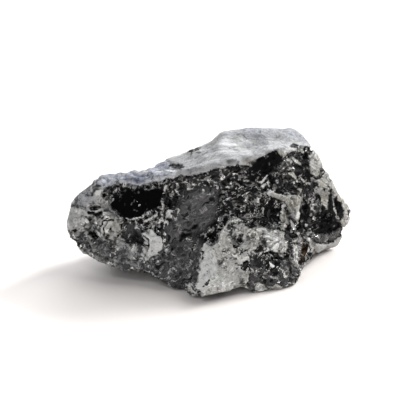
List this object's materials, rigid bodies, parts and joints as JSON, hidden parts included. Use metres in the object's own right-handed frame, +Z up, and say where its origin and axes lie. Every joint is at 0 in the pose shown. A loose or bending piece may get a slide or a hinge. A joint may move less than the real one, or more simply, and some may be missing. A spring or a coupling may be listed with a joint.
{
  "type": "raw labradorite stone",
  "caption": "Rough, wedge-shaped piece of pale feldspar with black hornblende through it, with broken facets, ledges and pits; lies on its flattened underside as a display stone.",
  "frame": {"origin": "middle of the bounding box seen from above, at the height of the underside", "axes": "+X along the stone's length, towards the tall end; +Y to the back; +Z up"},
  "size_m": [0.0558, 0.0304, 0.0256],
  "materials": {
    "stone": "rough"
  },
  "bodies": {
    "root": {"raw_stone": "stone"}
  },
  "joints": []
}
